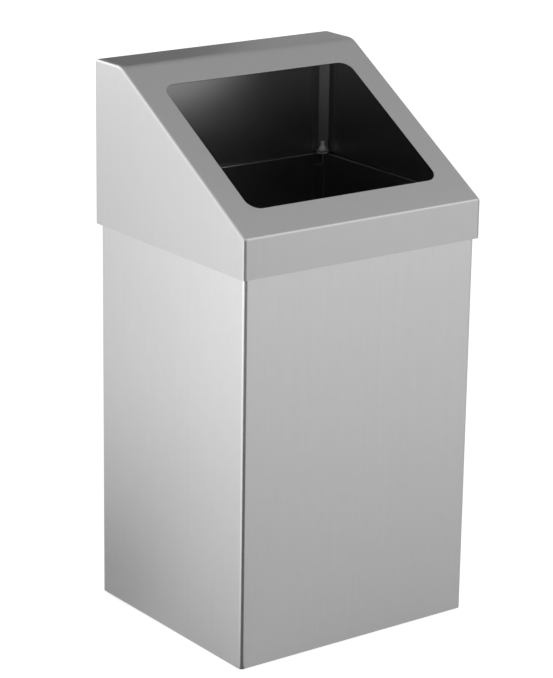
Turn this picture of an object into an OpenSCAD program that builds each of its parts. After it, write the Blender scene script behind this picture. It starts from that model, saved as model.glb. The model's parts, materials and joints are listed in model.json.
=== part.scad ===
// Free-standing open-top waste receptacle in folded stainless sheet:
// a four-walled body on rubber feet, a lift-off hood with a sloping window,
// and a lift-out liner with two drop handles.
//
// Row frame: millimetres, +Z up, -Y is the front, origin on the floor
// in the middle of the body.

/* [Body] */
// Outside width of the body
body_w = 302; // [260:1:360]
// Outside depth of the body
body_d = 269; // [240:1:320]
// Height of the body walls, from their bottom edge to the rim
body_h = 470; // [440:1:600]
// Thickness of the body sheet
body_sheet = 1; // [0.8:0.1:1.5]
// Outside radius of the two front bends
front_bend_r = 4; // [3:0.5:6]
// Outside radius of the two rear bends
rear_bend_r = 2.5; // [2:0.5:4]
// Height of the hem folded inside the rim
hem_h = 13; // [8:1:20]
// Gap that each hem leaves at a corner
hem_corner_gap = 6; // [5:0.5:8]
// Width of the shell's flanges behind the back panel
rear_flange_w = 13; // [12:1:20]

/* [Rivets] */
// Diameter of the blind rivets
rivet_d = 4; // [3.2:0.1:4.8]
// Diameter of a rivet's head
rivet_head_d = 8; // [7:0.5:9]
// Height of a rivet's head
rivet_head_h = 1.2; // [0.8:0.1:1.6]
// Height of a rivet's formed tail
rivet_tail_h = 3.5; // [2.5:0.5:4]
// Rivets down each edge of the back panel
back_rivet_count = 4; // [3:1:6]
// Distance of the lowest and highest back rivets from the wall's bottom edge and rim
back_rivet_end = 62; // [50:1:90]

/* [Base and feet] */
// Thickness of the base sheet
base_sheet = 1.2; // [1:0.1:2]
// Height of the base above the walls' bottom edge
base_lift = 10; // [8:0.5:14]
// Height of the base's upturned flanges
base_flange_h = 15; // [10:1:20]
// Length that each base flange stops short of a corner
base_corner_gap = 8; // [6:0.5:12]
// How far the feet stand below the walls' bottom edge
foot_proud = 3; // [2:0.5:6]
// Diameter of a rubber foot at the base
foot_d = 28; // [24:1:36]
// Diameter of a rubber foot at the floor
foot_floor_d = 25; // [22:1:32]
// Distance of a foot's centre from the outside of both walls
foot_inset = 32; // [26:1:45]
// Rubber left between the washer and the base
foot_web_h = 6; // [5:0.5:8]
// Diameter of the pocket that takes the screw's head
foot_pocket_d = 14; // [13:0.5:16]
// Diameter of the foot screws
screw_d = 5; // [4:0.5:5]
// Diameter of a foot screw's head
screw_head_d = 9.5; // [9:0.5:11]
// Height of a foot screw's head
screw_head_h = 3; // [2:0.5:3]
// Outside diameter of a foot washer
washer_d = 12.5; // [12:0.5:13]
// Thickness of a foot washer
washer_h = 1; // [0.8:0.1:1.5]
// Width of a foot nut across its flats
nut_flats = 8; // [7:0.5:9]
// Height of a foot nut
nut_h = 4; // [3.2:0.1:5]
// Length of screw that shows past a nut
screw_tip = 1.5; // [1:0.5:2.5]

/* [Hood] */
// Thickness of the hood sheet
hood_sheet = 1; // [0.8:0.1:1.5]
// Clearance between the body and the hood's skirt, on each side
hood_gap = 3; // [2.5:0.5:5]
// How far the skirt hangs below the body's rim
skirt_lap = 42; // [30:1:60]
// Height of the skirt at the front
front_h = 43; // [38:1:70]
// Rise from the top of the front skirt to the top of the hood
hood_rise = 138; // [100:1:180]
// Depth of the level strip along the top
top_d = 50; // [30:1:80]
// Outside radius of the hood's folds
hood_fold_r = 3; // [2:0.5:4]
// Outside radius of the wider fold at the top of the slope
crest_r = 25; // [5:1:25]
// Width of the side panels' flanges under the cover
side_flange_w = 12; // [8:1:16]
// Distance of the flanges from the cover's bends
side_flange_gap = 8; // [8:0.5:12]
// Width of the front rest tabs
rest_tab_w = 7; // [6:0.5:10]
// Distance of the front rest tabs from the front of the hood
rest_tab_y = 14; // [11:0.5:30]

/* [Window] */
// Width of the window
window_w = 247; // [200:1:250]
// Height of the window, measured up the slope
window_h = 192; // [120:1:192]
// Distance from the slope's lower edge to the window
window_sill = 38; // [30:1:38]
// Corner radius of the window
window_r = 15; // [10:1:40]

/* [Corner posts and bumpers] */
// Width of a post's diagonal face
post_face_w = 12; // [10:0.5:14]
// Width of a post's legs, which lie on the two walls
post_leg_w = 10; // [8:0.5:14]
// Thickness of the post sheet
post_sheet = 1; // [0.8:0.1:1.2]
// Side of the square foot at a post's lower end
post_foot_w = 15; // [14:0.5:18]
// Distance of a bumper's centre from the insides of both walls
bumper_in = 8; // [7.5:0.5:9]
// Diameter of a bumper's pad
bumper_pad_d = 13; // [12:0.5:14]
// Thickness of a bumper's pad
bumper_pad_h = 2; // [1.5:0.5:3]
// Diameter of a bumper's neck, in the post's foot
bumper_neck_d = 4.6; // [4:0.2:5]
// Diameter of a bumper's barb at its widest
bumper_barb_d = 8; // [6:0.5:8.5]
// Height of a bumper's barb above the post's foot
bumper_barb_h = 10; // [6:0.5:12]

/* [Liner] */
// Clearance between the body's rim hem and the liner, at the sides
liner_gap_x = 6; // [4:0.5:12]
// Clearance between the body's rim hem and the liner, front and back
liner_gap_y = 7.5; // [5:0.5:14]
// Height of the liner
liner_h = 400; // [300:1:410]
// Thickness of the liner sheet
liner_sheet = 0.8; // [0.7:0.1:1.2]
// Outside radius of the liner's corners
liner_r = 10; // [6:1:20]
// Height of the hem folded outside the liner's rim
liner_hem_h = 10; // [6:1:16]
// Width of the lap where the liner's wall is joined
liner_lap_w = 12; // [8:1:20]
// Height of the liner's floor above its bottom edge
liner_floor_lift = 10; // [9:0.5:16]

/* [Handles] */
// Depth of the handles' pivots below the liner's rim
pivot_drop = 30; // [20:1:50]
// Distance of the pivots from the inside of the liner's wall
pivot_off = 8; // [7.5:0.5:12]
// Diameter of the handle wire
wire_d = 5; // [4:0.5:6]
// Distance between the middles of a handle's two arms
handle_span = 90; // [70:1:120]
// Length of a handle, from its pivots to the middle of its grip
handle_drop = 45; // [35:1:60]
// Bend radius of the handle wire, at its middle
wire_bend_r = 8; // [6:0.5:12]
// Thickness of the handle brackets
bracket_sheet = 1.5; // [1.2:0.1:2]
// Height of the handle brackets
bracket_h = 22; // [20:1:30]
// Length of a bracket's riveted tab beyond its ear
bracket_tab = 13; // [12:0.5:20]
// Depth of a bracket's ears
ear_depth = 14; // [13:0.5:20]
// Play between a handle's bends and the ears
ear_play = 1; // [0.5:0.5:2]
// How far a handle's stubs stand past the ears
stub_proud = 2.5; // [2:0.5:5]

/* [Clearances] */
// Gap between a lifted piece and the seat it stands on
seat_gap = 0.2; // [0.1:0.1:0.5]
// Gap between the back panel and the rear bends
edge_gap = 0.2; // [0.1:0.1:0.5]
// Radial clearance of a fastener or a pin in its hole
hole_clear = 0.05; // [0.02:0.01:0.1]

/* [Hidden] */
$fn = 64;
cut = 1;           // how far a cutting solid runs past what it cuts
root2 = sqrt(2);

// Heights, counted from the floor
wall_z0 = foot_proud;
rim_z = wall_z0 + body_h;
base_z0 = wall_z0 + base_lift;
base_z1 = base_z0 + base_sheet;
skirt_z = rim_z - skirt_lap;
slope_z = skirt_z + front_h;
top_z = slope_z + hood_rise;
liner_z0 = base_z1 + seat_gap;
liner_z1 = liner_z0 + liner_h;
pivot_z = liner_z1 - pivot_drop;

// Body, seen from above
wall_x = body_w / 2 - body_sheet;          // inside of the side walls
wall_y = body_d / 2 - body_sheet;          // inside of the front and back sheets
flange_y = wall_y - body_sheet;            // inside of the rear flanges
panel_x = body_w / 2 - rear_bend_r - edge_gap;
flange_x = body_w / 2 - rear_flange_w;     // free edge of the rear flanges
back_rivet_x = (flange_x + panel_x) / 2;
back_rivet_z0 = wall_z0 + back_rivet_end;
back_rivet_pitch = (body_h - 2 * back_rivet_end) / (back_rivet_count - 1);
foot_x = body_w / 2 - foot_inset;
foot_y = body_d / 2 - foot_inset;
washer_z0 = base_z0 - foot_web_h - washer_h;

// Hood, seen from above and from the side
hood_w = body_w + 2 * (hood_gap + hood_sheet);
hood_d = body_d + 2 * (hood_gap + hood_sheet);
hood_x = hood_w / 2 - hood_sheet;          // inside of the side panels
hood_y = hood_d / 2 - hood_sheet;          // inside of the cover's back
slope_run = hood_d - top_d;
slope_a = atan2(hood_rise, slope_run);
slope_len = norm([slope_run, hood_rise]);
hood_outline = [
    [-hood_d / 2, skirt_z], [hood_d / 2, skirt_z], [hood_d / 2, top_z],
    [hood_d / 2 - top_d, top_z], [-hood_d / 2, slope_z]
];
hood_radii = [0, 0, hood_fold_r, crest_r, hood_fold_r];
post_z0 = rim_z + seat_gap + bumper_pad_h;
post_z1 = top_z - 2 * hood_sheet - seat_gap;
post_in = post_face_w / root2;             // the diagonal's reach along each wall

// Liner, seen from above
liner_x = body_w / 2 - 2 * body_sheet - liner_gap_x - liner_sheet;  // outside of its walls
liner_y = body_d / 2 - 2 * body_sheet - liner_gap_y - liner_sheet;
liner_in_x = liner_x - liner_sheet;
liner_in_y = liner_y - liner_sheet;
pivot_x = liner_in_x - pivot_off;
ear_y = handle_span / 2 + wire_bend_r + ear_play;  // inner face of the ears
bracket_y = ear_y + bracket_sheet + bracket_tab;
bracket_rivet_y = bracket_y - bracket_tab / 2;

STEEL = "silver";
SHADE = "darkgray";
RUBBER = [0.12, 0.12, 0.12];
NYLON = "whitesmoke";
ZINC = "lightgray";
DARK = "dimgray";

// ---------------------------------------------------------------- outlines

function unit(v) = v / norm(v);
function before(p, i) = p[(i + len(p) - 1) % len(p)];
function after(p, i) = p[(i + 1) % len(p)];
// Half the inside angle of an outline at its corner i
function half_angle(p, i) = acos(unit(before(p, i) - p[i]) * unit(after(p, i) - p[i])) / 2;
// The two points where a rounding of radius r meets the sides of corner i
function tangent_points(p, i, r) =
    let (reach = r / tan(half_angle(p, i)))
    r == 0 ? [p[i]]
           : [p[i] + reach * unit(before(p, i) - p[i]), p[i] + reach * unit(after(p, i) - p[i])];
function round_centre(p, i, r) =
    p[i] + r / sin(half_angle(p, i)) * unit(unit(before(p, i) - p[i]) + unit(after(p, i) - p[i]));
// A convex outline moved inwards by t
function inset(p, t) = [
    for (i = [0:len(p) - 1])
        p[i] + t / sin(2 * half_angle(p, i)) * (unit(before(p, i) - p[i]) + unit(after(p, i) - p[i]))
];
function rect_points(x, y0, y1) = [[-x, y0], [x, y0], [x, y1], [-x, y1]];

// A convex outline with true arcs at its corners
module rounded(points, radii) {
    polygon([for (i = [0:len(points) - 1]) each tangent_points(points, i, radii[i])]);
    for (i = [0:len(points) - 1]) if (radii[i] > 0)
        translate(round_centre(points, i, radii[i])) circle(r = radii[i]);
}

// ------------------------------------------------------------ placing tools

module box(lo, hi) translate(lo) cube(hi - lo);
module slab(z0, z1) translate([0, 0, z0]) linear_extrude(z1 - z0) children();
// Turns a side-view outline (its x is the row's Y, its y the row's Z) into a solid between x0 and x1
module side_slab(x0, x1) translate([x0, 0, 0]) rotate([90, 0, 90]) linear_extrude(x1 - x0) children();
// Row frame seen from the lower edge of the slope: y runs up the slope, z out of it
module on_slope() translate([0, -hood_d / 2, slope_z]) rotate([slope_a, 0, 0]) children();
// The rear corner of the hood: u runs in from the side panel, v in from the back
module at_rear_corner(side) translate([side * hood_x, hood_y, 0])
    mirror([side > 0 ? 1 : 0, 0, 0]) mirror([0, 1, 0]) children();
module at_back_rivets() for (side = [-1, 1], i = [0:back_rivet_count - 1])
    translate([side * back_rivet_x, 0, back_rivet_z0 + i * back_rivet_pitch]) children();
module at_feet() for (x = [-foot_x, foot_x], y = [-foot_y, foot_y]) translate([x, y, 0]) children();
module at_bracket_rivets(side) for (y = [-bracket_rivet_y, bracket_rivet_y])
    translate([side * liner_in_x, y, pivot_z]) children();

// --------------------------------------------------------------- fasteners

// A set blind rivet along +Z: its head is above z = 0, and its tail grips a stack that thick
module blind_rivet(stack) {
    shank = rivet_d / 2;
    rotate_extrude() polygon([
        [0, rivet_head_h], [0.3 * rivet_head_d, rivet_head_h],
        [rivet_head_d / 2, rivet_head_h / 2], [rivet_head_d / 2, 0],
        [shank, 0], [shank, -stack],
        [1.5 * shank, -stack], [1.5 * shank, -stack - 0.6 * rivet_tail_h],
        [0.8 * shank, -stack - rivet_tail_h], [0, -stack - rivet_tail_h]
    ]);
}
module rivet_hole(stack) translate([0, 0, -stack - cut])
    cylinder(h = stack + 2 * cut, d = rivet_d + 2 * hole_clear);

// ------------------------------------------------------------------- body

// A closed hem's inner leaf and round top, along +X, on the inside of a wall whose inner face is y = 0
module hem(length, height, sheet)
    rotate([90, 0, 90]) translate([0, 0, -length / 2]) linear_extrude(length) {
        translate([0, -height]) square([sheet, height - sheet]);
        translate([0, -sheet]) circle(r = sheet);
    }

// Both side walls, the front wall, and the rear flanges, folded from one sheet
module body_shell() {
    outline = rect_points(body_w / 2, -body_d / 2, wall_y);
    radii = [front_bend_r, front_bend_r, rear_bend_r, rear_bend_r];
    inner_radii = [for (r = radii) r - body_sheet];
    color(STEEL) difference() {
        union() {
            difference() {
                slab(wall_z0, rim_z - body_sheet) difference() {
                    rounded(outline, radii);
                    rounded(inset(outline, body_sheet), inner_radii);
                    translate([-flange_x, flange_y - cut]) square([2 * flange_x, 2 * cut + body_sheet]);
                }
                // the flanges stop below the back panel's hem
                box([-panel_x, flange_y - cut, rim_z - hem_h - 1], [panel_x, body_d / 2, rim_z]);
            }
            translate([0, -wall_y, rim_z]) hem(body_w - 2 * hem_corner_gap, hem_h, body_sheet);
            for (side = [-1, 1]) translate([side * wall_x, 0, rim_z]) rotate([0, 0, side * 90])
                hem(body_d - 2 * hem_corner_gap, hem_h, body_sheet);
        }
        at_back_rivets() translate([0, body_d / 2, 0]) rotate([-90, 0, 0]) rivet_hole(2 * body_sheet);
    }
}

module body_back_panel() color(STEEL) difference() {
    union() {
        box([-panel_x, wall_y, wall_z0], [panel_x, body_d / 2, rim_z - body_sheet]);
        translate([0, wall_y, rim_z]) rotate([0, 0, 180])
            hem(body_w - 2 * hem_corner_gap, hem_h, body_sheet);
    }
    at_back_rivets() translate([0, body_d / 2, 0]) rotate([-90, 0, 0]) rivet_hole(2 * body_sheet);
}

module back_panel_rivets() color(ZINC)
    at_back_rivets() translate([0, body_d / 2, 0]) rotate([-90, 0, 0]) blind_rivet(2 * body_sheet);

// ---------------------------------------------------------- base and feet

module base_pan() {
    outline = rect_points(wall_x, -wall_y, flange_y);
    radii = [for (r = [front_bend_r, front_bend_r, rear_bend_r, rear_bend_r]) r - body_sheet];
    x = wall_x - base_corner_gap;
    z1 = base_z0 + base_flange_h;
    color(SHADE) difference() {
        union() {
            slab(base_z0, base_z1) rounded(outline, radii);
            for (side = [-1, 1]) {
                outer = side * wall_x;
                inner = side * (wall_x - base_sheet);
                box([min(outer, inner), base_corner_gap - wall_y, base_z0],
                    [max(outer, inner), flange_y - base_corner_gap, z1]);
            }
            box([-x, -wall_y, base_z0], [x, base_sheet - wall_y, z1]);
            box([-x, flange_y - base_sheet, base_z0], [x, flange_y, z1]);
        }
        at_feet() translate([0, 0, base_z0 - cut])
            cylinder(h = base_sheet + 2 * cut, d = screw_d + 2 * hole_clear);
    }
}

module foot(x, y) color(RUBBER) translate([x, y, 0]) difference() {
    cylinder(h = base_z0, d1 = foot_floor_d, d2 = foot_d);
    translate([0, 0, -cut]) cylinder(h = base_z0 - foot_web_h + cut, d = foot_pocket_d);
    cylinder(h = base_z0 + cut, d = screw_d + 2 * hole_clear);
}

module foot_washers() color(ZINC) at_feet() translate([0, 0, washer_z0]) difference() {
    cylinder(h = washer_h, d = washer_d);
    translate([0, 0, -cut]) cylinder(h = washer_h + 2 * cut, d = screw_d + 2 * hole_clear);
}

module foot_screws() color(ZINC) at_feet() {
    head = screw_head_d / 2;
    tip_z = base_z1 + nut_h + screw_tip;
    rotate_extrude() polygon([
        [0, washer_z0 - screw_head_h], [0.7 * head, washer_z0 - screw_head_h],
        [head, washer_z0 - screw_head_h / 2], [head, washer_z0],
        [screw_d / 2, washer_z0], [screw_d / 2, tip_z], [0, tip_z]
    ]);
}

module foot_nuts() color(ZINC) at_feet() translate([0, 0, base_z1]) difference() {
    cylinder(h = nut_h, d = nut_flats / cos(30), $fn = 6);
    translate([0, 0, -cut]) cylinder(h = nut_h + 2 * cut, d = screw_d + 2 * hole_clear);
}

// ------------------------------------------------------------------- hood

// Front skirt, slope with its window, top strip and back, folded from one strip
module hood_cover() {
    inner = inset(hood_outline, hood_sheet);
    open_inner = [for (i = [0:len(inner) - 1]) i < 2 ? [inner[i][0], skirt_z - cut] : inner[i]];
    inner_radii = [for (r = hood_radii) max(0, r - hood_sheet)];
    window = rect_points(window_w / 2, window_sill, window_sill + window_h);
    color(STEEL) difference() {
        side_slab(-hood_x, hood_x) difference() {
            rounded(hood_outline, hood_radii);
            rounded(open_inner, inner_radii);
        }
        on_slope() slab(-hood_sheet - cut, cut) rounded(window, [for (i = [1:4]) window_r]);
    }
}

// One side panel with flanges under the cover, and the tab that stands on the body's rim
module hood_side(side) color(STEEL) mirror([side < 0 ? 1 : 0, 0, 0]) {
    x0 = hood_x - side_flange_w;
    x1 = hood_x + hood_sheet / 2;
    tab_y = rest_tab_y - hood_d / 2;
    tab_top = slope_z + rest_tab_y * tan(slope_a) - 1.5 * hood_sheet / cos(slope_a);
    side_slab(hood_x, hood_w / 2) rounded(hood_outline, hood_radii);
    box([x0, hood_sheet - hood_d / 2, skirt_z + side_flange_gap],
        [x1, 2 * hood_sheet - hood_d / 2, slope_z - side_flange_gap]);
    on_slope() box([x0, side_flange_gap, -2 * hood_sheet], [x1, slope_len - side_flange_gap, -hood_sheet]);
    box([x0, hood_d / 2 - top_d + side_flange_gap, top_z - 2 * hood_sheet],
        [x1, hood_y - side_flange_gap, top_z - hood_sheet]);
    box([hood_x - rest_tab_w, tab_y, rim_z + seat_gap], [x1, tab_y + hood_sheet, tab_top]);
}

// A strip folded across a rear corner of the hood, with a foot that holds the bumper
module corner_post(side) {
    s = post_sheet;
    back = s / root2;        // what the sheet takes off each leg on the far side of a fold
    section = [
        [post_in + post_leg_w, 0], [post_in + post_leg_w, s], [post_in + back, s],
        [s, post_in + back], [s, post_in + post_leg_w], [0, post_in + post_leg_w],
        [0, post_in], [post_in, 0]
    ];
    color(SHADE) at_rear_corner(side) difference() {
        union() {
            slab(post_z0, post_z1) polygon(section);
            box([0, 0, post_z0], [post_foot_w, post_foot_w, post_z0 + s]);
        }
        translate([bumper_in, bumper_in, post_z0 - cut])
            cylinder(h = s + 2 * cut, d = bumper_neck_d + 2 * hole_clear);
    }
}

// A push-in nylon bumper: pad under the post's foot, neck through it, barb above
module bumper(side) color(NYLON) at_rear_corner(side) translate([bumper_in, bumper_in, post_z0]) {
    pad = bumper_pad_d / 2;
    neck = bumper_neck_d / 2;
    barb = bumper_barb_d / 2;
    barb_z = post_sheet;
    rotate_extrude() polygon([
        [0, -bumper_pad_h], [pad, -bumper_pad_h], [pad, 0], [neck, 0], [neck, barb_z],
        [barb, barb_z], [barb, barb_z + 0.2 * bumper_barb_h], [neck, barb_z + 0.55 * bumper_barb_h],
        [neck, barb_z + bumper_barb_h], [0, barb_z + bumper_barb_h]
    ]);
}

// ------------------------------------------------------------------ liner

module liner_shell() {
    outline = rect_points(liner_x, -liner_y, liner_y);
    radii = [for (i = [1:4]) liner_r];
    grown = inset(outline, -liner_sheet);
    lap_x = liner_x - liner_r;
    color(DARK) difference() {
        union() {
            slab(liner_z0, liner_z1) rounded(outline, radii);
            slab(liner_z1 - liner_hem_h, liner_z1) rounded(grown, [for (r = radii) r + liner_sheet]);
        }
        slab(liner_z0 - cut, liner_z1 + cut) difference() {
            rounded(inset(outline, liner_sheet), [for (r = radii) r - liner_sheet]);
            // the wall's two ends lap here
            translate([lap_x - liner_lap_w, liner_in_y - liner_sheet])
                square([liner_lap_w, 2 * liner_sheet]);
        }
        for (side = [-1, 1]) at_bracket_rivets(side) translate([side * liner_sheet, 0, 0])
            rotate([0, side * 90, 0]) rivet_hole(liner_sheet);
    }
}

// The liner's floor, with its flanges turned down to the liner's bottom edge
module liner_floor() {
    r = liner_r - liner_sheet;
    // it stops short of the lap at the back
    outline = rect_points(liner_in_x, -liner_in_y, liner_in_y - liner_sheet);
    color(DARK) difference() {
        slab(liner_z0, liner_z0 + liner_floor_lift) rounded(outline, [r, r, r, r]);
        slab(liner_z0 - cut, liner_z0 + liner_floor_lift - liner_sheet)
            rounded(inset(outline, liner_sheet), [for (i = [1:4]) r - liner_sheet]);
    }
}

// ---------------------------------------------------------------- handles

module handle_bracket(side) color(ZINC) mirror([side < 0 ? 1 : 0, 0, 0]) difference() {
    x = liner_in_x;
    z0 = pivot_z - bracket_h / 2;
    z1 = pivot_z + bracket_h / 2;
    union() {
        box([x - bracket_sheet, -bracket_y, z0], [x, bracket_y, z1]);
        for (y = [-ear_y - bracket_sheet, ear_y])
            box([x - ear_depth, y, z0], [x, y + bracket_sheet, z1]);
    }
    translate([pivot_x, 0, pivot_z]) rotate([90, 0, 0])
        cylinder(h = 2 * bracket_y, d = wire_d + 2 * hole_clear, center = true);
    at_bracket_rivets(1) rotate([0, 90, 0]) rivet_hole(bracket_sheet);
}

module handle_bracket_rivets() color(ZINC) for (side = [-1, 1])
    at_bracket_rivets(side) translate([side * liner_sheet, 0, 0])
        rotate([0, side * 90, 0]) blind_rivet(liner_sheet + bracket_sheet);

// A quarter bend of wire, from +X round to +Y, about the origin
module wire_bend() rotate_extrude(angle = 90) translate([wire_bend_r, 0]) circle(d = wire_d);

// A wire drop handle: stubs in the bracket's ears, two arms, and a grip
module handle(side)
    color(ZINC) translate([side * pivot_x, 0, pivot_z]) rotate([0, 0, -90]) rotate([90, 0, 0]) {
    arm = handle_span / 2;
    stub = ear_y + bracket_sheet + stub_proud;
    for (end = [0, 1]) mirror([end, 0, 0]) {
        // the stub runs along the pivot axis, then bends down into the arm
        translate([arm + wire_bend_r, 0, 0]) rotate([0, 90, 0])
            cylinder(h = stub - arm - wire_bend_r, d = wire_d);
        translate([arm + wire_bend_r, -wire_bend_r, 0]) rotate([0, 0, 90]) wire_bend();
        translate([arm, wire_bend_r - handle_drop, 0]) rotate([-90, 0, 0])
            cylinder(h = handle_drop - 2 * wire_bend_r, d = wire_d);
        translate([arm - wire_bend_r, wire_bend_r - handle_drop, 0]) rotate([0, 0, -90]) wire_bend();
    }
    translate([wire_bend_r - arm, -handle_drop, 0]) rotate([0, 90, 0])
        cylinder(h = 2 * (arm - wire_bend_r), d = wire_d);
}

// ---------------------------------------------------------------- assembly

body_shell();
body_back_panel();
back_panel_rivets();
base_pan();
foot(-foot_x, -foot_y);  // foot_front_left
foot(foot_x, -foot_y);  // foot_front_right
foot(-foot_x, foot_y);  // foot_back_left
foot(foot_x, foot_y);  // foot_back_right
foot_screws();
foot_washers();
foot_nuts();
hood_cover();
hood_side(-1);  // hood_left_side
hood_side(1);  // hood_right_side
corner_post(-1);  // left_corner_post
corner_post(1);  // right_corner_post
bumper(-1);  // left_bumper
bumper(1);  // right_bumper
liner_shell();
liner_floor();
handle_bracket(-1);  // left_handle_bracket
handle_bracket(1);  // right_handle_bracket
handle_bracket_rivets();
handle(-1);  // left_handle
handle(1);  // right_handle
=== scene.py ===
import json
import math

import bpy
from mathutils import Matrix, Vector


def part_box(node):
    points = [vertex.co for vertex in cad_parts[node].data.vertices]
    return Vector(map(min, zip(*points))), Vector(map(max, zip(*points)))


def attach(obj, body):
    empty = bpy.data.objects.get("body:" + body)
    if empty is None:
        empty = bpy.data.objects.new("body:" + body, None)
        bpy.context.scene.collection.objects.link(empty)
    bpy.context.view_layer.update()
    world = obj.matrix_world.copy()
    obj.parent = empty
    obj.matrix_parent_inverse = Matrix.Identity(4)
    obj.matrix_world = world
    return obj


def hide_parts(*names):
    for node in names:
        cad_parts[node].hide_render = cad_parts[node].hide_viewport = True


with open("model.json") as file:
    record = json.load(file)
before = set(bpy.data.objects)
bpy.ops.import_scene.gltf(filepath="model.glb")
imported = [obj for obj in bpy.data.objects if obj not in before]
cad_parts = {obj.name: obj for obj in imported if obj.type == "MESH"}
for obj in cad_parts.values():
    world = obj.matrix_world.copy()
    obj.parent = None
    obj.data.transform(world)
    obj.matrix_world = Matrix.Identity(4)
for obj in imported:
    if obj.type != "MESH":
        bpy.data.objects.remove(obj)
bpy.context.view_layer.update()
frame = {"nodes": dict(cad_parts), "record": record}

# A hooded waste receptacle in folded stainless sheet, on a white stage with cards round it.
# The body's shell, the hood's cover and its sides get finer edges here, and every node gets its finish.

MM = 0.001
nodes = frame["nodes"]
slot_colour = {m["slot"]: m["base_color"] for m in frame["record"]["materials"]}
scene = bpy.context.scene

# Sizes of the CAD model in metres, from the boxes of its nodes
hood_lo, hood_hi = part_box("hood_cover")
_, side_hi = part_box("hood_right_side")
body_lo, body_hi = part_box("body_shell")
HOOD_X = side_hi.x                      # outside of the hood's sides
HOOD_Y = side_hi.y                      # outside of the hood's back
SKIRT_Z, TOP_Z = hood_lo.z, hood_hi.z
WALL_Z0, RIM_Z = body_lo.z, body_hi.z
# and as the CAD source has them
SHEET = 1 * MM                          # thickness of the body's and the hood's sheets
SLOPE_Z = SKIRT_Z + 43 * MM             # top of the hood's front skirt
TOP_D = 50 * MM                         # depth of the level strip along the top
REAR_BEND, FRONT_BEND = 2.5 * MM, 4 * MM        # outside radii of the body's bends
REAR_FLANGE_W = 13 * MM                 # width of the flanges behind the back panel
HEM_H = 13 * MM                         # height of the hems inside the body's rim
HEM_GAP = 6 * MM                        # distance of a hem's ends from the corners
HOOD_FLANGE_GAP = 8 * MM                # distance of the hood's inner flanges from its folds
REST_TAB_Y = 14 * MM                    # distance of a rest tab from the front of the hood
REST_TAB_W = 8 * MM                     # how far a rest tab reaches in from the outside of the hood
SEAT_GAP = 0.2 * MM                     # gap between a rest tab and the rim
WINDOW_HALF_W = 123.5 * MM              # half the window's width
WINDOW_LOW, WINDOW_HIGH = 38 * MM, 230 * MM     # the window's ends, measured up the slope
WINDOW_R = 15 * MM                      # radius of the window's corners

# Edges that the scene adds to the sheets
EASED_EDGE = 0.12 * MM                  # width of the bevel along cut edges
EASED_ANGLE = math.radians(60)          # edges that turn by more than this are bevelled
SHARP_ANGLE = math.radians(32)          # edges that turn by more than this are shaded sharp
ROLL = 2.8 * MM                         # radius of the rolled edges of the hood's sides
REAR_FOLD, CREST_FOLD, LOWER_FOLD = 3.5 * MM, 25 * MM, 3.2 * MM     # radii of the cover's folds
SEAM = 0.15 * MM                        # hairline between a side and the cover
SIDE_FLANGE_W = 10 * MM                 # how far the hood's inner flanges reach in past the rolled edge
HEM_R = 1.02 * SHEET                    # radius of the hems' round top


# ------------------------------------------------------------------ meshes

def fillet(points, radii, steps):
    """Rounds the inner corners of an open 2-D path, and returns stations of (point, normal).
    The normal is to the left of the path."""
    stations = []
    last = len(points) - 1
    for i, (corner, radius) in enumerate(zip(points, radii)):
        if i in (0, last):
            start, end = (points[0], points[1]) if i == 0 else (points[-2], points[-1])
            along = (end - start).normalized()
            stations.append((corner.copy(), Vector((-along.y, along.x))))
            continue
        before = (corner - points[i - 1]).normalized()
        after = (points[i + 1] - corner).normalized()
        first = Vector((-before.y, before.x))
        turn = before.angle_signed(after)       # clockwise is positive
        reach = radius * math.tan(abs(turn) / 2)
        side = 1 if turn > 0 else -1
        centre = corner - before * reach - first * radius * side
        for k in range(steps + 1):
            angle = -turn * k / steps
            cos, sin = math.cos(angle), math.sin(angle)
            normal = Vector((first.x * cos - first.y * sin, first.x * sin + first.y * cos))
            stations.append((centre + normal * radius * side, normal))
    return stations


class Surface:
    """The outer skin of a folded sheet, with the normal of each point."""

    def __init__(self):
        self.points, self.normals, self.faces = [], [], []

    def add(self, point, normal):
        """Adds a point, and returns its index."""
        self.points.append(Vector(point))
        self.normals.append(Vector(normal).normalized())
        return len(self.points) - 1

    def grid(self, rows):
        """Faces between rows of indices; None in a row leaves a hole."""
        for row, following in zip(rows, rows[1:]):
            for face in zip(row, row[1:], following[1:], following):
                if None not in face:
                    self.faces.append(face)

    def solid(self, name, blocks=(), shaded_from=None):
        """Gives the skin its sheet's thickness, inwards, closes its edges and adds the blocks.
        The second material, darker steel as painted shade, goes to the inside, the blocks, and the skin's
        faces from the given number on."""
        count = len(self.points)
        points = self.points + [
            point - normal * SHEET for point, normal in zip(self.points, self.normals)]
        uses = {}
        for face in self.faces:
            for edge in zip(face, face[1:] + face[:1]):
                uses.setdefault(frozenset(edge), []).append(edge)
        rims = [(b, a, count + a, count + b) for (a, b), *more in uses.values() if not more]
        inside = len(self.faces) + len(rims)
        faces = self.faces + rims + [tuple(count + i for i in reversed(face)) for face in self.faces]
        for block_points, block_faces in blocks:
            faces += [tuple(len(points) + i for i in face) for face in block_faces]
            points = points + block_points
        mesh = bpy.data.meshes.new(name)
        mesh.from_pydata(points, [], faces)
        for i, polygon in enumerate(mesh.polygons):
            # faces from the given number on get the darker second finish: painted shade
            shaded_face = shaded_from is not None and shaded_from <= i < len(self.faces)
            polygon.material_index = int(shaded_face or i >= inside)
        mesh.shade_smooth()
        mesh.set_sharp_from_angle(angle=SHARP_ANGLE)
        piece = bpy.data.objects.new(name, mesh)
        scene.collection.objects.link(piece)
        edge = piece.modifiers.new("eased edges", "BEVEL")
        edge.width, edge.segments = EASED_EDGE, 2
        edge.limit_method, edge.angle_limit = "ANGLE", EASED_ANGLE
        edge.harden_normals = False
        even = piece.modifiers.new("even normals", "WEIGHTED_NORMAL")
        even.mode, even.weight, even.keep_sharp = "FACE_AREA", 50, True
        return piece


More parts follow.
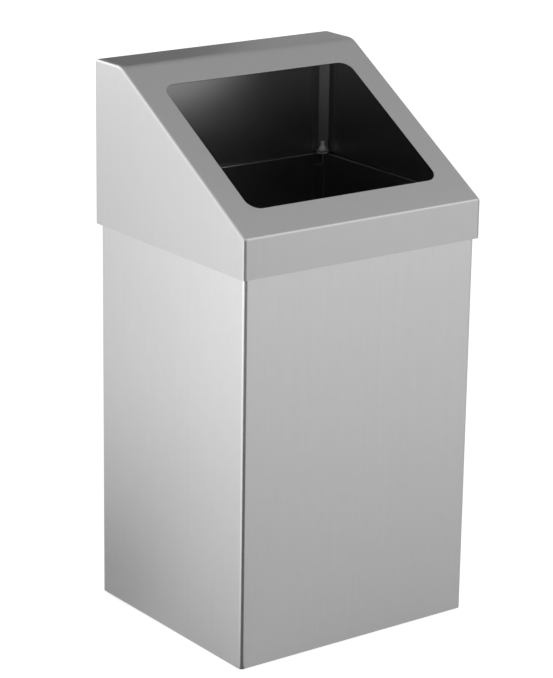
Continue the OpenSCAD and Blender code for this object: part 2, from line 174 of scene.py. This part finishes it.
def block(low, high):
    """The points and faces of a plate between two opposite corners."""
    points = [
        Vector((x, y, z))
        for z in (low[2], high[2]) for y in (low[1], high[1]) for x in (low[0], high[0])]
    faces = [(0, 2, 3, 1), (4, 5, 7, 6), (0, 1, 5, 4), (2, 6, 7, 3), (0, 4, 6, 2), (1, 3, 7, 5)]
    return points, faces


def moved(plate, matrix, flip=False):
    """A block moved by a matrix. A mirrored one has its faces flipped."""
    points, faces = plate
    points = [matrix @ point for point in points]
    return points, [tuple(reversed(face)) for face in faces] if flip else faces


def finish_piece(piece, body, slot, stands_for, *finishes):
    """Gives a piece its finishes and its body, and hides the CAD nodes that it stands for. The argument
    slot is not used.
    """
    for finish in finishes:
        piece.data.materials.append(finish)
    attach(piece, body)
    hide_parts(*stands_for)


# --------------------------------------------------------- shader node helpers

def math_node(tree, operation, *terms):
    """A Math node. Each term is a number or another node's output."""
    node = tree.nodes.new("ShaderNodeMath")
    node.operation = operation
    for socket, term in zip(node.inputs, terms):
        if isinstance(term, bpy.types.NodeSocket):
            tree.links.new(term, socket)
        else:
            socket.default_value = term
    return node.outputs[0]


def times(tree, a, b):
    """The product of two terms."""
    return math_node(tree, "MULTIPLY", a, b)


def dot(tree, vector, direction):
    """How far a vector reaches along a direction."""
    node = tree.nodes.new("ShaderNodeVectorMath")
    node.operation = "DOT_PRODUCT"
    node.inputs[1].default_value = direction
    tree.links.new(vector, node.inputs[0])
    return node.outputs["Value"]


def length(tree, vector):
    """The length of a vector."""
    node = tree.nodes.new("ShaderNodeVectorMath")
    node.operation = "LENGTH"
    tree.links.new(vector, node.inputs[0])
    return node.outputs["Value"]


def ramp(tree, value, given, wanted):
    """Takes a value that runs between two given ends on to the wanted ones, and holds it there."""
    node = tree.nodes.new("ShaderNodeMapRange")
    for name, number in zip(("From Min", "From Max", "To Min", "To Max"), (*given, *wanted)):
        node.inputs[name].default_value = number
    tree.links.new(value, node.inputs["Value"])
    return node.outputs["Result"]


NOISE_ENDS = (0.3, 0.7)                 # most of a noise's values lie between these


def vary(tree, texture, middle, amount):
    """A noise taken on to a middle value, give or take an amount."""
    return ramp(tree, texture, NOISE_ENDS, (middle - amount, middle + amount))


def noise(tree, scale, detail, roughness):
    """Noise in the piece's own coordinates, with a scale per metre for each axis."""
    place = tree.nodes.new("ShaderNodeTexCoord")
    mapping = tree.nodes.new("ShaderNodeMapping")
    mapping.inputs["Scale"].default_value = scale
    tree.links.new(place.outputs["Object"], mapping.inputs["Vector"])
    texture = tree.nodes.new("ShaderNodeTexNoise")
    texture.inputs["Scale"].default_value = 1
    texture.inputs["Detail"].default_value = detail
    texture.inputs["Roughness"].default_value = roughness
    tree.links.new(mapping.outputs["Vector"], texture.inputs["Vector"])
    return texture.outputs["Fac"]


# --------------------------------------------------------------- materials

def material(name, colour, metallic, roughness):
    """A new material, its node tree and its shader."""
    finish = bpy.data.materials.new(name)
    finish.use_nodes = True
    finish.diffuse_color = (*colour, 1)
    tree = finish.node_tree
    shader = tree.nodes["Principled BSDF"]
    shader.inputs["Base Color"].default_value = (*colour, 1)
    shader.inputs["Metallic"].default_value = metallic
    shader.inputs["Roughness"].default_value = roughness
    return finish, tree, shader


def tint(tree, shader, colour, factor):
    """Sets the shader's colour to a colour times a grey factor."""
    mix = tree.nodes.new("ShaderNodeMix")
    mix.data_type, mix.blend_type = "RGBA", "MULTIPLY"
    mix.inputs["Factor"].default_value = 1
    mix.inputs["A"].default_value = (*colour, 1)
    tree.links.new(factor, mix.inputs["B"])
    tree.links.new(mix.outputs["Result"], shader.inputs["Base Color"])


def bump(tree, shader, height, strength, distance):
    """Tilts the shader's normal by a height map."""
    node = tree.nodes.new("ShaderNodeBump")
    node.inputs["Strength"].default_value = strength
    node.inputs["Distance"].default_value = distance
    tree.links.new(height, node.inputs["Height"])
    tree.links.new(node.outputs["Normal"], shader.inputs["Normal"])


STREAK_LINES = 9                        # width of a broad streak, in fine lines
CLOUD_SCALE, MOTTLE_SCALE = 9, 90       # per metre
CLOUD_ROUGHNESS = 0.014                 # variation of the roughness by the clouds
LINE_ROUGHNESS = 0.012                  # share by which the fine lines vary it
MOTTLE_GREY = 0.008                     # share by which the mottle varies the grey
BRUSH_STRENGTH, BRUSH_DEPTH = 0.1, 0.04 * MM


def brushed(name, slot, grain, roughness=0.3, streak=0.015, shade=1, front=1):
    """Satin steel: fine lines along the grain, broader streaks, and a slow cloudiness of the finish.
    grain holds the scales per metre of the three axes, low along the lines. A shade below 1 darkens the
    colour as painted shade, and faces that look to the front get the factor front, painted shade too."""
    # a shade below 1 is painted shade: it darkens the slot's colour
    colour = [channel * shade for channel in slot_colour[slot]]
    finish, tree, shader = material(name, colour, 1, roughness)
    fine = noise(tree, grain, 3, 0.6)
    broad = noise(tree, [scale / STREAK_LINES for scale in grain], 2, 0.5)
    cloud = noise(tree, [CLOUD_SCALE] * 3, 3, 0.55)
    mottle = noise(tree, [MOTTLE_SCALE] * 3, 2, 0.5)
    grey = times(tree, vary(tree, fine, 1, streak), vary(tree, broad, 1, streak / 2))
    grey = times(tree, grey, vary(tree, mottle, 1, MOTTLE_GREY))
    # painted shade: faces that look to the front are darkened by the factor front
    if front != 1:
        facing = tree.nodes.new("ShaderNodeTexCoord")
        axes = tree.nodes.new("ShaderNodeSeparateXYZ")
        tree.links.new(facing.outputs["Normal"], axes.inputs[0])
        grey = times(tree, grey, ramp(tree, axes.outputs["Y"], (-0.5, 0.5), (front, 1)))
    tint(tree, shader, colour, grey)
    clouded = vary(tree, cloud, roughness, CLOUD_ROUGHNESS)
    rough = times(tree, clouded, vary(tree, fine, 1, LINE_ROUGHNESS))
    tree.links.new(rough, shader.inputs["Roughness"])
    bump(tree, shader, broad, BRUSH_STRENGTH, BRUSH_DEPTH)
    return finish


PLAIN_ROUGHNESS = 0.06                  # variation of the plain finishes' roughness
PLAIN_STRENGTH = 0.3                    # strength of their bumps


def plain(name, slot, metallic, roughness, scale, amount, bump_mm):
    """A finish with a fine even texture, which has a scale per metre, varies the grey by a share and
    has bumps of a depth in millimetres."""
    colour = slot_colour[slot]
    finish, tree, shader = material(name, colour, metallic, roughness)
    grains = noise(tree, [scale] * 3, 4, 0.6)
    tint(tree, shader, colour, vary(tree, grains, 1, amount))
    tree.links.new(vary(tree, grains, roughness, PLAIN_ROUGHNESS), shader.inputs["Roughness"])
    bump(tree, shader, grains, PLAIN_STRENGTH, bump_mm * MM)
    return finish


def natural_nylon():
    """Slightly translucent moulded nylon."""
    finish = plain("natural nylon", "bumper_nylon", 0, 0.45, 700, 0.03, 0.02)
    shader = finish.node_tree.nodes["Principled BSDF"]
    shader.inputs["Subsurface Weight"].default_value = 0.15
    shader.inputs["Subsurface Scale"].default_value = 2 * MM
    return finish


# scales per metre of grains whose lines run upwards
SATIN_GRAIN = (2600, 2600, 16)
MILL_GRAIN = (1300, 1300, 32)
steel_upright = brushed("satin steel, upright grain", "stainless", SATIN_GRAIN)
# The hood's steel is the body's satin steel darkened by shade 0.86: painted shade
hood_steel_painted_shade = brushed("satin steel of the hood, darkened as painted shade", "stainless", SATIN_GRAIN, roughness=0.38, shade=0.86)
# The back panel's faces that look to the front, its inside, are darkened to half: painted shade
back_steel_painted_shade = brushed("satin steel of the back panel, with painted shade inside", "stainless", SATIN_GRAIN, front=0.5)
# Parts in the slot stainless_inner, such as the corner post, are darkened by shade 0.55: painted shade on
# a mill finish
inner_steel_painted_shade = brushed(
    "mill finish steel with painted shade", "stainless_inner", MILL_GRAIN, roughness=0.35, streak=0.03, shade=0.55)
# The insides of the sheets, their flanges and the hems are darkened by shade 0.61: painted shade on a mill
# finish
inside_steel_painted_shade = brushed(
    "mill finish steel with painted shade, inside of a sheet", "stainless_inner", MILL_GRAIN, streak=0.02, shade=0.61)

BY_SLOT = {
    "stainless": steel_upright,
    "stainless_inner": inner_steel_painted_shade,
    "rivet_aluminium": plain("rivet aluminium", "rivet_aluminium", 1, 0.35, 1500, 0.05, 0.02),
    "zinc_plate": plain("zinc plate", "zinc_plate", 1, 0.36, 900, 0.08, 0.02),
    "liner_coat": plain("powder coat", "liner_coat", 0, 0.5, 1800, 0.15, 0.06),
    "foot_rubber": plain("foot rubber", "foot_rubber", 0, 0.75, 1200, 0.12, 0.05),
    "bumper_nylon": natural_nylon(),
}


def dress_node(name, slot):
    """Gives a CAD node its finish."""
    # the back panel gets the steel whose inside is darkened as painted shade
    finish = back_steel_painted_shade if name == "body_back_panel" else BY_SLOT[slot]
    for holder in nodes[name].material_slots:
        holder.material = finish
    if not nodes[name].material_slots:
        nodes[name].data.materials.append(finish)


for part in frame["record"]["subparts"]:
    dress_node(part["node"], part["material_slot"])


# --------------------------------------------------------------------- hood

ROLL_STEPS, FOLD_STEPS, WINDOW_STEPS = 8, 8, 16
# side view of the hood, from the foot of its back over the top to the foot of its front
hood_path = [
    Vector((HOOD_Y, SKIRT_Z)), Vector((HOOD_Y, TOP_Z)), Vector((HOOD_Y - TOP_D, TOP_Z)),
    Vector((-HOOD_Y, SLOPE_Z)), Vector((-HOOD_Y, SKIRT_Z)),
]
hood_radii = [0, REAR_FOLD, CREST_FOLD, LOWER_FOLD, 0]
# the path runs with the inside on its left, so its own normals point inwards
hood_stations = [
    (point, -normal) for point, normal in fillet(hood_path, hood_radii, FOLD_STEPS)]
crest, slope_foot = hood_path[2], hood_path[3]
slope_dir = (crest - slope_foot).normalized()           # up the slope
SLOPE_ANGLE = math.atan2(slope_dir.y, slope_dir.x)
SLOPE_LEN = (crest - slope_foot).length
on_slope = Matrix.Translation((0, -HOOD_Y, SLOPE_Z)) @ Matrix.Rotation(SLOPE_ANGLE, 4, "X")


def hood_side(side):
    """A side panel whose edge rolls over to meet the cover, with the flanges under the cover and
    the rest tab."""
    skin = Surface()
    edge_x = HOOD_X - ROLL
    rows = []
    for k in range(ROLL_STEPS + 1):
        angle = math.pi / 2 * k / ROLL_STEPS
        cos, sin = math.cos(angle), math.sin(angle)
        x, out = edge_x + ROLL * cos, ROLL * (sin - 1)
        rows.append([
            skin.add((side * x, point.x + normal.x * out, point.y + normal.y * out),
                     (side * cos, normal.x * sin, normal.y * sin))
            for point, normal in hood_stations
        ])
    skin.grid(rows)
    skin.faces.append(tuple(reversed(rows[0])))
    if side > 0:
        skin.faces = [tuple(reversed(face)) for face in skin.faces]

    # the flanges run into the rolled edge's sheet, and the tab runs up into the slope's flange
    x0, x1 = edge_x - SIDE_FLANGE_W, HOOD_X - 1.5 * SHEET
    gap = HOOD_FLANGE_GAP
    tab_y = REST_TAB_Y - HOOD_Y
    tab_top = SLOPE_Z + REST_TAB_Y * math.tan(SLOPE_ANGLE) - 1.5 * SHEET / math.cos(SLOPE_ANGLE)
    plates = [
        block((x0, SHEET - HOOD_Y, SKIRT_Z + gap), (x1, 2 * SHEET - HOOD_Y, SLOPE_Z - gap)),
        moved(block((x0, gap, -2 * SHEET), (x1, SLOPE_LEN - gap, -SHEET)), on_slope),
        block((x0, HOOD_Y - TOP_D + gap, TOP_Z - 2 * SHEET), (x1, HOOD_Y - SHEET - gap, TOP_Z - SHEET)),
        block((HOOD_X - REST_TAB_W, tab_y, RIM_Z + SEAT_GAP), (x1, tab_y + SHEET, tab_top)),
    ]
    mirror = Matrix.Scale(side, 4, (1, 0, 0))
    plates = [moved(plate, mirror, side < 0) for plate in plates]
    return skin.solid("hood_side_" + ("right" if side > 0 else "left"), plates)


def hood_cover():
    """Back, top strip, slope with its window and front skirt, folded from one strip."""
    skin = Surface()
    x = HOOD_X - ROLL - SEAM
    lines = [
        [skin.add((end, point.x, point.y), (0, normal.x, normal.y)) for end in (x, -x)]
        for point, normal in hood_stations]
    # the slope lies between the crest's last station and the lower fold's first
    upper = 2 * (FOLD_STEPS + 1)
    lower = upper + 1
    skin.grid(lines[:lower])
    skin.grid(lines[lower:])

    # the window's rim, counter-clockwise seen from outside, from the upper right corner
    normal = Vector((0, -slope_dir.y, slope_dir.x))
    right, low, high = WINDOW_HALF_W - WINDOW_R, WINDOW_LOW + WINDOW_R, WINDOW_HIGH - WINDOW_R
    ring = []
    for x, y, start in ((right, high, 0), (-right, high, 90), (-right, low, 180), (right, low, 270)):
        for k in range(WINDOW_STEPS + 1):
            angle = math.radians(start + 90 * k / WINDOW_STEPS)
            point = Vector((x + WINDOW_R * math.cos(angle), y + WINDOW_R * math.sin(angle), 0))
            ring.append(skin.add(on_slope @ point, normal))

    # four faces round the window, which part in the middles of its corners
    top_right, top_left = lines[upper]
    low_right, low_left = lines[lower]
    corners = [top_right, top_left, low_left, low_right]
    for i, (here, there) in enumerate(zip(corners, corners[1:] + corners[:1])):
        middle = i * (WINDOW_STEPS + 1) + WINDOW_STEPS // 2
        stretch = (ring[middle:] + ring[:middle])[:WINDOW_STEPS + 2]
        skin.faces.append((here, there, *reversed(stretch)))
    return skin.solid("hood_cover_sheet")


# each piece's second finish, for its inside and flanges, is darkened steel: painted shade
finish_piece(hood_side(-1), "hood", "stainless", ["hood_left_side"], hood_steel_painted_shade, inside_steel_painted_shade)
finish_piece(hood_side(1), "hood", "stainless", ["hood_right_side"], hood_steel_painted_shade, inside_steel_painted_shade)
finish_piece(hood_cover(), "hood", "stainless", ["hood_cover"], hood_steel_painted_shade, inside_steel_painted_shade)


# --------------------------------------------------------------------- body

BEND_STEPS, HEM_STEPS = 10, 8
ON_LINE = 1e-9                          # a hem's end with a smaller cross product is on the wall's line
SHADED_ROW = 4                            # past this row of points the hems get the inside's darker steel, as painted shade


def body_shell():
    """Both side walls, the front and the rear flanges, folded from one sheet, with the hems inside
    the rim."""
    x, front, back = body_hi.x, body_lo.y, body_hi.y - SHEET
    flange_x, flange_top = x - REAR_FLANGE_W, RIM_Z - HEM_H - SHEET
    wall_top = RIM_Z - HEM_R
    # seen from above, from the free edge of the left flange to that of the right one
    path = [(-flange_x, back), (-x, back), (-x, front), (x, front), (x, back), (flange_x, back)]
    radii = [0, REAR_BEND, FRONT_BEND, FRONT_BEND, REAR_BEND, 0]
    path = [Vector(point) for point in path]
    stations = [(point, -normal) for point, normal in fillet(path, radii, BEND_STEPS)]
    hem_ends = [Vector(point) for point in (
        (-x, back - HEM_GAP), (-x, front + HEM_GAP), (-x + HEM_GAP, front),
        (x - HEM_GAP, front), (x, front + HEM_GAP), (x, back - HEM_GAP))]

    # every wall's straight stretch also gets the two ends of its hem, in their order along the path
    line = []
    for (start, normal), (stop, _) in zip(stations, stations[1:] + stations[-1:]):
        line.append((start, normal, False))
        stretch = stop - start
        if stretch.length > 2 * HEM_GAP:
            ends = [end for end in hem_ends if abs((end - start).cross(stretch)) < ON_LINE]
            ends.sort(key=lambda end: (end - start).length)
            line += [(end, normal, True) for end in ends]

    skin = Surface()

    def wall_row(z, stations):
        """A level row of points on the wall."""
        return [
            skin.add((point.x, point.y, z), (normal.x, normal.y, 0))
            for point, normal, _ in stations
        ]

    def hem_row(reach, z, out, up):
        """A level row of points on the hems, and None between the hems. It lies inwards by reach, and
        its normals have the shares out and up."""
        return [
            skin.add((point.x - normal.x * reach, point.y - normal.y * reach, z),
                     (normal.x * out, normal.y * out, up)) if in_hem else None
            for point, normal, in_hem in line
        ]

    rows = [wall_row(WALL_Z0, line), wall_row(flange_top, line)]
    # the flanges stop below the hems
    rows.append([None, *wall_row(wall_top, line[1:-1]), None])
    for k in range(1, HEM_STEPS + 1):
        angle = math.pi * k / HEM_STEPS
        cos, sin = math.cos(angle), math.sin(angle)
        rows.append(hem_row(HEM_R * (1 - cos), wall_top + HEM_R * sin, cos, sin))
    rows.append(hem_row(2 * HEM_R, RIM_Z - HEM_H, -1, 0))
    # the hems get the inside's darker steel, painted shade, past the second step of their round top
    skin.grid(rows[:SHADED_ROW + 1])
    shaded_from = len(skin.faces)
    skin.grid(rows[SHADED_ROW:])
    return skin.solid("body_shell_sheet", shaded_from=shaded_from)


# the inside and the upper hems get the darkened inside steel: painted shade
finish_piece(body_shell(), "cabinet", "stainless", ["body_shell"], steel_upright, inside_steel_painted_shade)


# ------------------------------------------------------------------- camera

AZIMUTH, ELEVATION, ROLL_ANGLE = (math.radians(angle) for angle in (-36.458, 17.145, 0.869))
CAMERA_PLACE = (-1.6691, -2.2444, 1.1711)
SENSOR_MM, LENS_MM = 36, 142.245


def add_camera():
    """The camera, fitted to the photograph's view."""
    toward_camera = Vector((
        math.sin(AZIMUTH) * math.cos(ELEVATION),
        -math.cos(AZIMUTH) * math.cos(ELEVATION),
        math.sin(ELEVATION)))
    level_right = (-toward_camera).cross(Vector((0, 0, 1))).normalized()
    level_up = level_right.cross(-toward_camera)
    right = level_right * math.cos(ROLL_ANGLE) + level_up * math.sin(ROLL_ANGLE)
    up = level_up * math.cos(ROLL_ANGLE) - level_right * math.sin(ROLL_ANGLE)
    lens = bpy.data.cameras.new("camera")
    lens.sensor_width, lens.lens = SENSOR_MM, LENS_MM
    lens.clip_start, lens.clip_end = 0.05, 60
    camera = bpy.data.objects.new("camera", lens)
    turned = Matrix((right, up, toward_camera)).transposed().to_4x4()
    camera.matrix_world = Matrix.Translation(CAMERA_PLACE) @ turned
    scene.collection.objects.link(camera)
    scene.camera = camera


add_camera()
scene.view_settings.view_transform = "Standard"


# -------------------------------------------------------------------- stage

def seen_directly(tree):
    """1 for camera, glossy and transmission rays, and 0 for the rest."""
    path = tree.nodes.new("ShaderNodeLightPath")
    total = path.outputs["Is Camera Ray"]
    for name in ("Is Glossy Ray", "Is Transmission Ray"):
        total = math_node(tree, "MAXIMUM", total, path.outputs[name])
    return total


WORLD_LIGHT = 0.7                       # the world's strength where it isn't seen directly


def add_world():
    """White where it is seen, and a little dimmer as a light."""
    world = bpy.data.worlds.new("studio")
    scene.world = world
    world.use_nodes = True
    tree = world.node_tree
    sky = tree.nodes["Background"]
    sky.inputs["Color"].default_value = (1, 1, 1, 1)
    tree.links.new(ramp(tree, seen_directly(tree), (0, 1), (WORLD_LIGHT, 1)), sky.inputs["Strength"])


def glow_material(name):
    """A material with its node tree, and an emission shader and an output that aren't linked yet."""
    paint = bpy.data.materials.new(name)
    paint.use_nodes = True
    tree = paint.node_tree
    tree.nodes.clear()
    return paint, tree, tree.nodes.new("ShaderNodeEmission"), tree.nodes.new("ShaderNodeOutputMaterial")


def emitter(name, level):
    """A material that glows evenly."""
    paint, tree, glow, out = glow_material(name)
    glow.inputs["Strength"].default_value = level
    tree.links.new(glow.outputs[0], out.inputs["Surface"])
    return paint


CAMERA_LIFT = 0.6                       # what the camera sees on top of the glow
FLOOR_GREY = 0.4                        # the floor's own colour
# The glow is the larger of the front's and of the lesser one of the left's two. Each has its growth
# per metre along X, Y and Z, and its level at the origin
FRONT_GLOW = (0, -0.22, 0), 0.325
LEFT_NEAR_GLOW = (-1.65, -0.55, 0), 0.04
LEFT_FAR_GLOW = (-1.13, -0.53, 0), 0.21
GLOW_LIMITS = (0.2, 0.9)
# Behind the object it is dimmed by the product of three ramps. A ramp has its two ends and its values
# there. The ends are in metres, and those of BEHIND are of the dot product with ASTERN
ASTERN = (1.35, 1, 0)                   # towards the floor behind the object
BEHIND = (-0.22, -0.1), (0, 1)
REARWARD = (-0.13, 0.1), (0, 1)         # along Y
NEARBY = (0.35, 1.2), (0.38, 0)         # by the distance from the origin
# a darker ring and a lighter floor past it, by that distance too
DARK_RING = (1.15, 1.5), (1, 0.83)
LIGHT_RING = (1.6, 2.2), (1, 1.26)


def floor_paint():
    """A grey floor with an uneven glow that shows in reflections. It is white to the camera."""
    paint, tree, glow, out = glow_material("floor")
    place = tree.nodes.new("ShaderNodeNewGeometry").outputs["Position"]
    front, left_near, left_far = (
        math_node(tree, "ADD", dot(tree, place, slant), level)
        for slant, level in (FRONT_GLOW, LEFT_NEAR_GLOW, LEFT_FAR_GLOW))
    left = math_node(tree, "MINIMUM", left_near, left_far)
    level = ramp(tree, math_node(tree, "MAXIMUM", front, left), GLOW_LIMITS, GLOW_LIMITS)

    distance = length(tree, place)
    axes = tree.nodes.new("ShaderNodeSeparateXYZ")
    tree.links.new(place, axes.inputs[0])
    dimmed = times(tree, ramp(tree, dot(tree, place, ASTERN), *BEHIND), ramp(tree, distance, *NEARBY))
    dimmed = times(tree, dimmed, ramp(tree, axes.outputs["Y"], *REARWARD))
    ring = times(tree, ramp(tree, distance, *DARK_RING), ramp(tree, distance, *LIGHT_RING))
    level = times(tree, level, times(tree, ring, math_node(tree, "SUBTRACT", 1, dimmed)))

    to_camera = tree.nodes.new("ShaderNodeLightPath").outputs["Is Camera Ray"]
    seen = times(tree, seen_directly(tree), level)
    strength = math_node(tree, "MULTIPLY_ADD", to_camera, CAMERA_LIFT, seen)
    tree.links.new(strength, glow.inputs["Strength"])
    diffuse = tree.nodes.new("ShaderNodeBsdfDiffuse")
    diffuse.inputs["Color"].default_value = (FLOOR_GREY, FLOOR_GREY, FLOOR_GREY, 1)
    both = tree.nodes.new("ShaderNodeAddShader")
    tree.links.new(glow.outputs[0], both.inputs[0])
    tree.links.new(diffuse.outputs[0], both.inputs[1])
    tree.links.new(both.outputs[0], out.inputs["Surface"])
    return paint


def staged(name, points, paint, hidden=True):
    """A flat stage piece through its points. A hidden one shows only in reflections and as light."""
    mesh = bpy.data.meshes.new(name)
    mesh.from_pydata(points, [], [tuple(range(len(points)))])
    mesh.materials.append(paint)
    prop = bpy.data.objects.new(name, mesh)
    scene.collection.objects.link(prop)
    prop.visible_camera = not hidden
    return prop


UPRIGHT = 1e-6                          # a card that faces straight up or down has a smaller cross product


def card(name, centre, width, height, target, level):
    """A glowing flat card that faces target."""
    centre = Vector(centre)
    facing = (Vector(target) - centre).normalized()
    across = Vector((0, 0, 1)).cross(facing)
    across = across.normalized() if across.length > UPRIGHT else Vector((1, 0, 0))
    side, rise = across * width / 2, facing.cross(across) * height / 2
    points = [centre - side - rise, centre + side - rise, centre + side + rise, centre - side + rise]
    staged(name, points, emitter(name, level))


def sector(name, apex, radius, angles, level):
    """A sector of a circle lying on the floor, which shows only in reflections."""
    x, y, z = apex
    points = [apex] + [
        (x + radius * math.cos(math.radians(angle)), y + radius * math.sin(math.radians(angle)), z)
        for angle in angles]
    prop = staged(name, points, emitter(name, level))
    prop.visible_diffuse = prop.visible_shadow = False


FLOOR_REACH = 16                        # from the floor's middle to its edges, in metres
# The softboxes light the object and show in the steel, and the flags darken what it reflects.
# Each has its name, centre, width, height, the point that it faces, and its level
CARDS = (
    ("left_softbox", (-1.1, 0.44, 0.275), 1.08, 0.45, (0, 0.44, 0.275), 2.2),
    ("left_upper_softbox", (-1.1, 0.44, 0.75), 1.08, 0.5, (0, 0.44, 0.75), 1.2),
    ("rear_left_softbox", (-0.65, 1.0, 0.7), 1.15, 0.5, (0, 0, 0.6), 1.9),
    ("far_left_softbox", (-1.64, 2.9, 2.225), 3.45, 1.75, (0.31, -0.1, 1.8), 2.5),
    ("front_right_softbox", (0.85, -1.1, 1.25), 1.2, 0.7, (0, -0.14, 0.47), 1.5),
    ("camera_flag", (-0.5, -0.95, 0.7), 1.5, 1.0, (0, 0, 0.7), 0.4),
    ("overhead_flag", (1.05, 0.9, 1.9), 2.8, 2.2, (1.05, 0.9, 0), 0.49),
    ("rear_flag_dark", (0.22, 0.75, 1.05), 0.48, 0.8, (0.22, 0, 1.05), 0.13),
    ("rear_flag_grey", (0.96, 0.75, 1.05), 1.0, 0.8, (0.96, 0, 1.05), 0.37),
)

add_world()
staged("floor", [(x * FLOOR_REACH, y * FLOOR_REACH, 0) for x, y in ((-1, -1), (1, -1), (1, 1), (-1, 1))],
       floor_paint(), hidden=False)
for settings in CARDS:
    card(*settings)
# what the bend at the front left corner reflects of the floor
sector("ground_flag", (-0.146, -0.13, 0.002), 1.65, range(200, 296, 10), 0.12)
